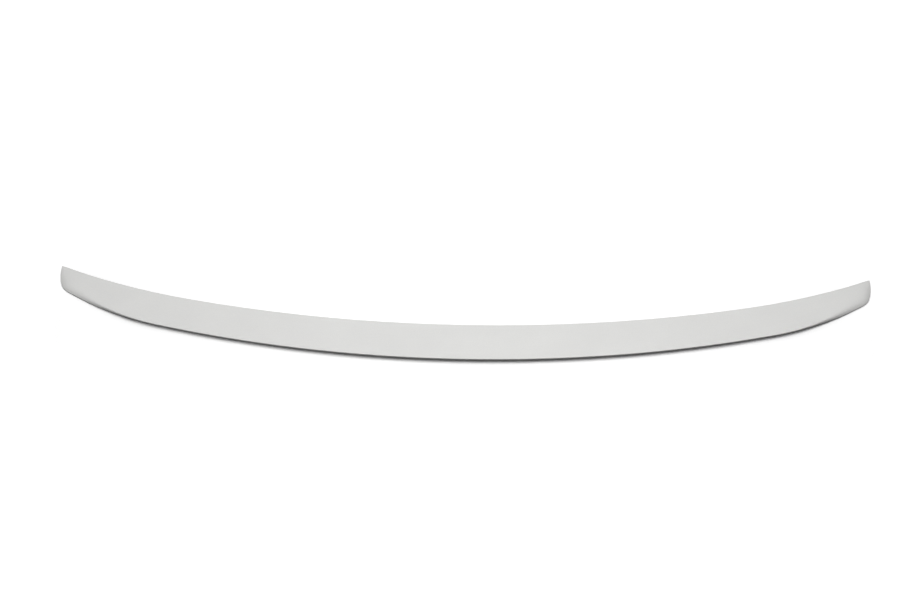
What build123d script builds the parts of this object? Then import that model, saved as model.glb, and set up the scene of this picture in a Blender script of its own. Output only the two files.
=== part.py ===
from build123d import *
import math
import os

# Lip spoiler for the rear edge of a car's boot lid, moulded in one piece.
# X runs across the car, +Y points forward and +Z up. The bonding face lies on z = 0, and its rear edge is
# called the foot. The lip is drawn from the middle of the foot, and the finished piece is moved so that
# its origin is the middle of the front bonding land. Lengths are in millimetres and angles in degrees.

# Plan of the bonding face
span = 1180.0  # from one front tip to the other
chord = 65.0  # foot to leading edge on the centre line
foot_bow_radius = 1765.0  # long gentle bow of the foot
shoulder_radius = 407.0  # tighter bow where the foot runs out to the ends
shoulder_heading = 35.2  # heading of the foot where the shoulder ends, away from straight across
corner_radius = 30.0  # rear corner
corner_heading = 71.8  # heading where the corner runs into the end
side_radius = 110.0  # slightly bowed end, square to the span at the front tip
lead_bow_radius = 1969.0  # long gentle bow of the leading edge
lead_bow_reach = 400.0  # half width of that bow; tangent arcs go on to the tips

# Section
crest_height = 9.5  # tail crest on the centre line
crest_end_height = 7.5  # the same at the ends
tip_height = 2.8  # the same at the front tips
tip_fall = 40.0  # length of foot over which the crest falls to the tip
undercut = 25.0  # lean of the rear face out over the foot
end_slope = 60.0  # lean of the ends the other way, where they fall to their rim
rim_height = 1.5  # rim of the ends
lead_thickness = 2.2  # leading edge
hollow_place = 0.67  # handle of the hollow top skin, as a share of the way from leading edge to crest
hollow_rise = 0.33  # share of the rise at that handle
end_hollow_place = 0.4  # the same two at the ends
end_hollow_rise = 0.45
crest_setback = 2.5  # how far from its corner the crest starts to round
end_setback = 20.0  # the same at the ends, on the skin's side
end_roll = 200.0  # length of foot over which the tail turns into the falling end
skin_share = 0.8  # most of the skin's last stretch that the rounding takes

# Moulded underside
skin_wall = 2.2  # wall under the top skin
rear_land = 8.0  # bonding land along the foot
front_land = 18.0  # bonding land behind the leading edge
end_land = 40.0  # solid ends
rib_pitch = 70.0
rib_thickness = 2.0
rib_setback = 0.8  # ribs stop this far short of the bonding face

# Construction
overrun = 25.0  # how far the forms that cut the underside out run past the lip
below_face = 2.0  # how far the sections run below the bonding face before it is cut
fan_inset = 30.0  # how far inside the tip the last section leaves the leading edge
stations = 18  # sections of the lip on each side of the centre line
station_grading = 1.5  # how strongly they crowd towards the tips

half_span = span / 2
quarter_turn = 90.0


def sine(angle):
    return math.sin(math.radians(angle))


def tangent(angle):
    return math.tan(math.radians(angle))


# Heading at which the gentle bow hands over to the shoulder, so that the tips come out at the span
ends_reach = (
    shoulder_radius * sine(shoulder_heading)
    + corner_radius * (sine(corner_heading) - sine(shoulder_heading))
    + side_radius * (1 - sine(corner_heading))
)
bow_heading = math.degrees(math.asin((half_span - ends_reach) / (foot_bow_radius - shoulder_radius)))

# Right half of the foot, from the centre line round the corner to the front tip
bow = JernArc((0, 0), (1, 0), foot_bow_radius, bow_heading)
shoulder = JernArc(bow @ 1, bow % 1, shoulder_radius, shoulder_heading - bow_heading)
corner = JernArc(shoulder @ 1, shoulder % 1, corner_radius, corner_heading - shoulder_heading)
side = JernArc(corner @ 1, corner % 1, side_radius, quarter_turn - corner_heading)
tip = side @ 1
foot_arcs = [bow, shoulder, corner, side]
foot_length = sum(arc.length for arc in foot_arcs)

# Right half of the leading edge
lead_heading = math.degrees(math.asin(lead_bow_reach / lead_bow_radius))
lead_bow = JernArc((0, chord), (1, 0), lead_bow_radius, lead_heading)
lead_end = TangentArc(lead_bow @ 1, tip, tangent=lead_bow % 1)


def foot_point(along):
    """Point of the foot at a length along it to the right of the centre line."""
    for arc in foot_arcs[:-1]:
        if along <= arc.length:
            return arc @ (along / arc.length)
        along -= arc.length
    return side @ (along / side.length)


def lead_point(x):
    """Point of the leading edge at a distance x to the right of the centre line."""
    arc = lead_bow if x <= lead_bow_reach else lead_end
    centre = arc.arc_center
    drop = math.sqrt(arc.radius**2 - (x - centre.X) ** 2)
    return Vector(x, centre.Y - math.copysign(drop, centre.Y - tip.Y), 0)


def ease(share):
    """Smooth step from 0 to 1, flat at both ends and past them."""
    share = min(max(share, 0.0), 1.0)
    return share**2 * (3 - 2 * share)


def between(first, last, share):
    return first + (last - first) * share


def section(foot, along):
    """Control points of the lip's section from a foot point, a length along the foot, to the leading edge.

    They run up the leading edge, over the top skin, round the crest and down over the rim to the foot.
    """
    lead = lead_point(foot.X * (1 - fan_inset / half_span))
    back = (foot - lead).normalized()
    depth = (foot - lead).length
    from_tip = foot_length - along
    roll = ease(1 - from_tip / end_roll)
    crest_z = between(crest_height, crest_end_height, (foot.X / half_span) ** 2)
    crest_z = between(crest_z, tip_height, ease(1 - from_tip / tip_fall))
    rear_left = (1 - roll) ** 2
    rim_z = between(rim_height, crest_z - crest_setback, rear_left)
    rim_lean = tangent(undercut) * rear_left
    crest_lean = tangent(between(undercut, -end_slope, roll))
    setback = between(crest_setback, end_setback, roll**2)
    handle_place = between(hollow_place, end_hollow_place, roll)
    handle_rise = between(hollow_rise, end_hollow_rise, roll)

    def place(out, z):
        """Point of the section, so far out from the leading edge and at that height."""
        return lead + back * out + Vector(0, 0, z)

    front = place(0, lead_thickness)
    rim_out = depth + rim_z * rim_lean
    crest_out = rim_out + (crest_z - rim_z) * crest_lean
    crest = place(crest_out, crest_z)
    handle = place(crest_out * handle_place, between(lead_thickness, crest_z, handle_rise))
    skin_way = handle - crest
    round_top = crest + skin_way.normalized() * min(setback, skin_way.length * skin_share)
    foot_low = place(depth - below_face * rim_lean, -below_face)
    return [place(0, -below_face), front, handle, round_top, crest, place(rim_out, rim_z), foot_low]


def section_face(points, side_sign):
    """Face of a section, on the right of the centre line or mirrored to its left."""
    low, front, handle, round_top, crest, rim, foot_low = [
        Vector(point.X * side_sign, point.Y, point.Z) for point in points
    ]
    skin = Bezier(front, handle, round_top)
    rounding = Bezier(round_top, crest, rim)
    return make_face(Line(low, front) + skin + rounding + Polyline(rim, foot_low, low))


sections = []
for station in range(stations + 1):
    along = foot_length * (1 - (1 - station / stations) ** station_grading)
    sections.append(section(foot_point(along), along))
right_faces = [section_face(points, 1) for points in sections]
left_faces = [section_face(points, -1) for points in reversed(sections[1:])]
lip_form = loft(left_faces + right_faces)
lip = split(lip_form, bisect_by=Plane.XY, keep=Keep.TOP)


def region(right_half, far_y):
    """Plan region between an outline, mirrored about the centre line, and a straight line at far_y."""
    last = right_half[-1] @ 1
    half = Curve() + right_half + Polyline(last, (last.X, far_y), (0, far_y))
    return make_face(half + mirror(half, about=Plane.YZ))


# Pocket under the skin: inside the lands, with its rear wall along the rear face and its roof along the skin
form_height = crest_height + overrun
past_tip = Line(tip, tip + (lead_end % 1) * overrun)
ahead_of_foot = offset(region([bow, shoulder, corner, side], tip.Y + overrun), amount=-rear_land)
behind_lead = offset(region([lead_bow, lead_end, past_tip], -overrun), amount=-front_land)
pocket = extrude(ahead_of_foot, amount=form_height, taper=-undercut)
pocket &= extrude(behind_lead, amount=form_height)
pocket &= Pos(0, 0, -skin_wall) * lip_form
pocket &= Box(span - 2 * end_land, span, 2 * form_height)

# Ribs across the pocket, square to the bow, on both sides of the one on the centre line
ribs_each_side = int((half_span - end_land) / rib_pitch)
rib_turn = math.degrees(rib_pitch / foot_bow_radius)
rib = Pos(0, chord / 2 - foot_bow_radius, rib_setback) * Box(
    rib_thickness, 2 * chord, form_height, align=(Align.CENTER, Align.CENTER, Align.MIN)
)
for number in range(-ribs_each_side, ribs_each_side + 1):
    pocket -= Pos(0, foot_bow_radius, 0) * Rot(0, 0, number * rib_turn) * rib

lip_spoiler = Pos(0, front_land / 2 - chord, 0) * (lip - pocket)
lip_spoiler.label = "lip_spoiler"

os.makedirs("parts", exist_ok=True)
export_step(lip_spoiler, "parts/lip_spoiler.step")
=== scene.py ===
"""Studio picture of a boot-lid lip spoiler in matt grey primer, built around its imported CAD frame."""

import logging
import math
from dataclasses import dataclass
from enum import Enum
from typing import Any, Mapping, Optional, Union

import bpy
from mathutils import Matrix, Vector


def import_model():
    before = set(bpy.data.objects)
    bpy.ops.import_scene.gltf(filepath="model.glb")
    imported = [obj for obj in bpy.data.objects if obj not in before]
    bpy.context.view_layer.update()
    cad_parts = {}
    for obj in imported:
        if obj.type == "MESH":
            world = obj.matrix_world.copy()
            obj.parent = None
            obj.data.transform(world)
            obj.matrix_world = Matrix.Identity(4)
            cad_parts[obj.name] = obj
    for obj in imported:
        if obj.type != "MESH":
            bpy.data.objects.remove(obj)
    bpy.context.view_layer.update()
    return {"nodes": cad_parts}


LOG = logging.getLogger("lip_spoiler")

SocketKey = Union[int, str]
Operand = Union["SocketValue", float]
Place = tuple[float, float, float]
Tone = tuple[float, float, float]
Colour = tuple[float, float, float, float]


class SocketValue:
    """A shader socket whose Python operators add Math nodes to its tree."""

    def __init__(self, graph: "ShaderGraph", socket: bpy.types.NodeSocket) -> None:
        """Wraps one output socket.

        Args:
            graph: Graph that the socket's node belongs to.
            socket: Output socket to read.
        """
        self.graph = graph
        self.socket = socket

    def _math(self, operation: str, first: Operand, second: Operand) -> "SocketValue":
        """Adds a Math node.

        Args:
            operation: Blender's name of the operation.
            first: Left operand, a number or a value.
            second: Right operand, a number or a value.

        Returns:
            The node's result.
        """
        return self.graph.add("ShaderNodeMath", {"operation": operation}, {0: first, 1: second})

    def __add__(self, other: Operand) -> "SocketValue":
        """Sum."""
        return self._math("ADD", self, other)

    def __radd__(self, other: Operand) -> "SocketValue":
        """Sum with a number on the left."""
        return self._math("ADD", other, self)

    def __sub__(self, other: Operand) -> "SocketValue":
        """Difference."""
        return self._math("SUBTRACT", self, other)

    def __rsub__(self, other: Operand) -> "SocketValue":
        """Difference from a number on the left."""
        return self._math("SUBTRACT", other, self)

    def __mul__(self, other: Operand) -> "SocketValue":
        """Product."""
        return self._math("MULTIPLY", self, other)

    def __rmul__(self, other: Operand) -> "SocketValue":
        """Product with a number on the left."""
        return self._math("MULTIPLY", other, self)

    def __or__(self, other: Operand) -> "SocketValue":
        """The greater of two masks."""
        return self._math("MAXIMUM", self, other)

    def __ror__(self, other: Operand) -> "SocketValue":
        """The greater of two masks, with a number on the left."""
        return self._math("MAXIMUM", other, self)


class ShaderGraph:
    """Node tree of one material or of the world."""

    def __init__(self, tree: bpy.types.NodeTree) -> None:
        """Empties the tree.

        Args:
            tree: Node tree to fill.
        """
        self.tree = tree
        tree.nodes.clear()

    def node(
        self,
        kind: str,
        settings: Optional[Mapping[str, Any]] = None,
        sockets: Optional[Mapping[SocketKey, Any]] = None,
    ) -> bpy.types.Node:
        """Adds a node, with its settings first and then its sockets.

        Args:
            kind: Blender's node type.
            settings: Properties of the node; "stops" holds a ramp's two places and their colours.
            sockets: Input sockets by name or place, each with a plain value or a link.

        Returns:
            The new node.
        """
        node = self.tree.nodes.new(kind)
        for name, setting in (settings or {}).items():
            if name == "stops":
                self._set_stops(node.color_ramp, setting)
            else:
                setattr(node, name, setting)
        for key, value in (sockets or {}).items():
            if isinstance(value, SocketValue):
                self.tree.links.new(value.socket, node.inputs[key])
            else:
                node.inputs[key].default_value = value
        return node

    def add(
        self,
        kind: str,
        settings: Optional[Mapping[str, Any]] = None,
        sockets: Optional[Mapping[SocketKey, Any]] = None,
        output: SocketKey = 0,
    ) -> SocketValue:
        """Adds a node and gives one of its outputs.

        Args:
            kind: Blender's node type.
            settings: Properties of the node.
            sockets: Input sockets by name or place.
            output: Output to read, by name or place.

        Returns:
            The chosen output.
        """
        node = self.node(kind, settings, sockets)
        return SocketValue(self, node.outputs[output])

    @staticmethod
    def _set_stops(ramp: bpy.types.ColorRamp, stops: Mapping[float, Colour]) -> None:
        """Sets the two stops that a new ramp has.

        Args:
            ramp: Ramp of a new node.
            stops: Colour at each place, in order.
        """
        for element, (place, colour) in zip(ramp.elements, stops.items()):
            element.position = place
            element.color = colour


def grey(level: float) -> Colour:
    """Gives the opaque grey of one level."""
    return (level, level, level, 1.0)


@dataclass(frozen=True)
class FilmNoise:
    """Unevenness of the primer's film at one scale; lengths are in metres."""

    size: float
    octaves: float
    fineness: float = 0.5  # strength of each octave, as a share of the one before
    depth: float = 0.0  # height in the film
    share: float = 0.0  # weight in how well the film covers

    def add(self, graph: ShaderGraph, place: SocketValue) -> SocketValue:
        """Adds the noise texture.

        Args:
            graph: Graph to add to.
            place: Coordinates in metres.

        Returns:
            The noise, about 0 to 1.
        """
        return graph.add(
            "ShaderNodeTexNoise",
            {"noise_dimensions": "3D"},
            {"Vector": place, "Scale": 1.0 / self.size, "Detail": self.octaves, "Roughness": self.fineness},
        )


@dataclass(frozen=True)
class DrySpecks:
    """Specks of dry spray that stand in the film here and there; lengths are in metres."""

    pitch: float = 0.004
    radius: float = 0.0003
    depth: float = 0.00004  # height in the film
    share: float = 0.15  # how much cover they take away

    def add(self, graph: ShaderGraph, place: SocketValue) -> SocketValue:
        """Adds the mask of the specks.

        Args:
            graph: Graph to add to.
            place: Coordinates in metres.

        Returns:
            1 at the middle of a speck, 0 between them.
        """
        distance = graph.add(
            "ShaderNodeTexVoronoi",
            {"feature": "F1"},
            {"Vector": place, "Scale": 1.0 / self.pitch},
            "Distance",
        )
        return graph.add(
            "ShaderNodeMapRange",
            {"interpolation_type": "SMOOTHSTEP"},
            {"Value": distance, "From Min": self.radius / self.pitch, "From Max": 0.0},
        )


@dataclass(frozen=True)
class PrimerFinish:
    """Matt light-grey primer, sprayed on and lightly rubbed down; lengths are in metres."""

    name: str = "primer"
    full_tone: Tone = (0.765, 0.765, 0.75)
    thin_tone: Tone = (0.685, 0.685, 0.675)
    full_cover: float = 0.65  # cover at which the film shows its full tone
    thin_cover: float = 0.35  # cover at which it shows its thin tone
    roughness: float = 0.72
    roughness_spread: float = 0.16
    specular: float = 0.12
    mottle: FilmNoise = FilmNoise(size=0.075, octaves=3.0, share=0.2)
    peel: FilmNoise = FilmNoise(size=0.0045, octaves=2.0, depth=0.00004)
    grain: FilmNoise = FilmNoise(size=0.0007, octaves=4.0, fineness=0.65, depth=0.00003, share=0.7)
    rubbing: FilmNoise = FilmNoise(size=0.0006, octaves=2.0, depth=0.000009, share=0.1)
    rub_length: float = 0.06
    specks: DrySpecks = DrySpecks()

    def material(self) -> bpy.types.Material:
        """Builds the primer's material.

        Returns:
            The new material.
        """
        material = bpy.data.materials.new(self.name)
        material.use_nodes = True
        graph = ShaderGraph(material.node_tree)
        place = graph.add("ShaderNodeTexCoord", output="Object")
        stretch = (self.rubbing.size / self.rub_length, 1.0, 1.0)
        along = graph.add("ShaderNodeMapping", None, {"Vector": place, "Scale": stretch})

        mottle = self.mottle.add(graph, place)
        peel = self.peel.add(graph, place)
        grain = self.grain.add(graph, place)
        rubbing = self.rubbing.add(graph, along)
        specks = self.specks.add(graph, place)

        cover = (
            self.mottle.share * mottle
            + self.grain.share * grain
            + self.rubbing.share * rubbing
            - self.specks.share * specks
        )
        stops = {self.thin_cover: (*self.thin_tone, 1.0), self.full_cover: (*self.full_tone, 1.0)}
        tone = graph.add("ShaderNodeValToRGB", {"stops": stops}, {"Fac": cover})
        # Grain and rubbing average about 1 together, so the roughness spreads to both sides.
        roughness = self.roughness + self.roughness_spread * (grain + rubbing - 1.0)
        height = (
            self.peel.depth * peel
            + self.grain.depth * grain
            + self.rubbing.depth * rubbing
            + self.specks.depth * specks
        )
        bump = graph.add("ShaderNodeBump", None, {"Strength": 1.0, "Distance": 1.0, "Height": height})
        surface = graph.add(
            "ShaderNodeBsdfPrincipled",
            None,
            {"Base Color": tone, "Roughness": roughness, "Normal": bump, "Specular IOR Level": self.specular},
        )
        graph.node("ShaderNodeOutputMaterial", None, {"Surface": surface})
        return material


@dataclass
class LipSpoiler:
    """The lip, one moulding that is a CAD node of its own."""

    node_name: str = "lip_spoiler"
    finish: PrimerFinish = PrimerFinish()

    def dress(self, nodes: Mapping[str, bpy.types.Object]) -> bpy.types.Object:
        """Gives the moulding its primer.

        Args:
            nodes: CAD nodes by name.

        Returns:
            The dressed node.
        """
        lip = nodes[self.node_name]
        lip.data.materials.clear()
        lip.data.materials.append(self.finish.material())
        return lip


class Ray(Enum):
    """Kinds of ray that see the studio white."""

    CAMERA = "Is Camera Ray"
    GLOSSY = "Is Glossy Ray"
    TRANSMISSION = "Is Transmission Ray"


def seen_white(graph: ShaderGraph) -> SocketValue:
    """Adds a mask of the rays that see the studio white.

    Args:
        graph: Graph to add to.

    Returns:
        1 for those rays and 0 for the rest.
    """
    path = graph.node("ShaderNodeLightPath")
    camera, glossy, transmission = (SocketValue(graph, path.outputs[ray.value]) for ray in Ray)
    return camera | glossy | transmission


@dataclass
class StudioFloor:
    """Pale floor that takes the shadow and goes to plain white away from the lip; lengths are in metres."""

    name: str = "studio_floor"
    size: float = 14.0
    drop: float = 0.0001  # how far it lies below the bonding face
    seen_level: float = 1.16
    bounce_level: float = 0.14
    reach: tuple[float, float] = (1.05, 0.48)  # oval round the lip, past which it is plain white
    shade_share: float = 0.55  # inner share of that oval, where only the lamps light it
    white_lift: float = 1.0

    def _away_from_lip(self, graph: ShaderGraph) -> SocketValue:
        """Adds the light that whitens the floor away from the lip.

        Args:
            graph: Graph to add to.

        Returns:
            Its colour, black round the lip.
        """
        place = graph.add("ShaderNodeTexCoord", output="Object")
        scale = (1.0 / self.reach[0], 1.0 / self.reach[1], 0.0)
        oval = graph.add("ShaderNodeMapping", None, {"Vector": place, "Scale": scale})
        radius = graph.add("ShaderNodeVectorMath", {"operation": "LENGTH"}, {0: oval}, "Value")
        stops = {self.shade_share: grey(0.0), 1.0: grey(self.white_lift)}
        return graph.add("ShaderNodeValToRGB", {"stops": stops}, {"Fac": radius})

    def _material(self) -> bpy.types.Material:
        """Builds the floor's material.

        Returns:
            The new material.
        """
        material = bpy.data.materials.new(self.name)
        material.use_nodes = True
        graph = ShaderGraph(material.node_tree)
        white = graph.add("ShaderNodeBsdfDiffuse", None, {"Color": grey(self.seen_level)})
        lifted = graph.add("ShaderNodeEmission", None, {"Color": self._away_from_lip(graph)})
        seen = graph.add("ShaderNodeAddShader", None, {0: white, 1: lifted})
        bounce = graph.add("ShaderNodeBsdfDiffuse", None, {"Color": grey(self.bounce_level)})
        surface = graph.add("ShaderNodeMixShader", None, {0: seen_white(graph), 1: bounce, 2: seen})
        graph.node("ShaderNodeOutputMaterial", None, {"Surface": surface})
        return material

    def build(self) -> bpy.types.Object:
        """Builds the floor just under the bonding face.

        Returns:
            The floor.
        """
        bpy.ops.object.select_all(action="DESELECT")
        bpy.ops.mesh.primitive_plane_add(size=self.size, location=(0.0, 0.0, -self.drop))
        floor = bpy.context.object
        floor.name = self.name
        floor.data.materials.append(self._material())
        return floor


@dataclass
class StudioAir:
    """Even light from all round, white where it is seen."""

    name: str = "studio_air"
    level: float = 0.02
    seen_level: float = 1.05

    def build(self) -> bpy.types.World:
        """Builds the world.

        Returns:
            The scene's new world.
        """
        world = bpy.data.worlds.new(self.name)
        world.use_nodes = True
        graph = ShaderGraph(world.node_tree)
        strength = self.level + (self.seen_level - self.level) * seen_white(graph)
        surface = graph.add("ShaderNodeBackground", None, {"Color": grey(1.0), "Strength": strength})
        graph.node("ShaderNodeOutputWorld", None, {"Surface": surface})
        bpy.context.scene.world = world
        return world


@dataclass
class SoftLamp:
    """A square soft lamp that faces the lip; lengths are in metres and the power in watts."""

    name: str
    place: Place
    aim: Place
    size: float
    power: float

    def build(self) -> bpy.types.Object:
        """Builds the lamp.

        Returns:
            The lamp.
        """
        data = bpy.data.lights.new(self.name, "AREA")
        data.shape = "SQUARE"
        data.size = self.size
        data.energy = self.power
        lamp = bpy.data.objects.new(self.name, data)
        lamp.location = self.place
        lamp.rotation_euler = (Vector(self.aim) - Vector(self.place)).to_track_quat("-Z", "Y").to_euler()
        bpy.context.scene.collection.objects.link(lamp)
        return lamp


LIP_MIDDLE: Place = (0.0, 0.03, 0.0)

STUDIO_LAMPS = (
    SoftLamp("overhead_softbox", place=(0.06, 0.03, 1.6), aim=(0.06, 0.03, 0.0), size=1.0, power=17.4),
    SoftLamp("left_fill", place=(-1.6, -0.35, 0.45), aim=(-0.5, 0.05, 0.0), size=0.7, power=1.8),
    SoftLamp("rear_softbox", place=(0.0, -0.9, 2.0), aim=LIP_MIDDLE, size=1.4, power=14.5),
    SoftLamp("front_fill", place=(0.0, 1.72, 1.41), aim=LIP_MIDDLE, size=1.4, power=9.0),
)


@dataclass
class PhotoCamera:
    """Camera behind the lip and above it, at the photograph's angle; lengths are in metres."""

    name: str = "photo_camera"
    focal_px: float = 1452.0
    image_width_px: int = 920
    target: Place = (-0.00758, 0.04602, 0.0)
    distance: float = 2.079
    elevation_deg: float = 47.65
    roll_deg: float = 1.022
    sensor_mm: float = 36.0

    def build(self) -> bpy.types.Object:
        """Builds the camera and makes it the scene's own.

        Returns:
            The camera.
        """
        data = bpy.data.cameras.new(self.name)
        data.sensor_fit = "HORIZONTAL"
        data.sensor_width = self.sensor_mm
        data.lens = self.focal_px * self.sensor_mm / self.image_width_px
        camera = bpy.data.objects.new(self.name, data)
        elevation = math.radians(self.elevation_deg)
        away = Vector((0.0, -math.cos(elevation), math.sin(elevation)))
        tilt = Matrix.Rotation(math.pi / 2 - elevation, 4, "X")
        roll = Matrix.Rotation(math.radians(self.roll_deg), 4, "Z")
        camera.matrix_world = Matrix.Translation(Vector(self.target) + away * self.distance) @ tilt @ roll
        bpy.context.scene.collection.objects.link(camera)
        bpy.context.scene.camera = camera
        return camera


def main() -> None:
    """Dresses the lip and sets up the studio round it."""
    logging.basicConfig(level=logging.INFO, format="%(name)s: %(message)s")
    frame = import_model()
    bpy.context.scene.view_settings.view_transform = "Standard"

    lip = LipSpoiler().dress(frame["nodes"])
    LOG.info("dressed %s in %s", lip.name, lip.data.materials[0].name)

    floor = StudioFloor().build()
    LOG.info("laid %s", floor.name)
    air = StudioAir().build()
    LOG.info("filled %s", air.name)
    for lamp in STUDIO_LAMPS:
        LOG.info("hung %s", lamp.build().name)
    camera = PhotoCamera().build()
    LOG.info("placed %s", camera.name)


if __name__ == "__main__":
    main()
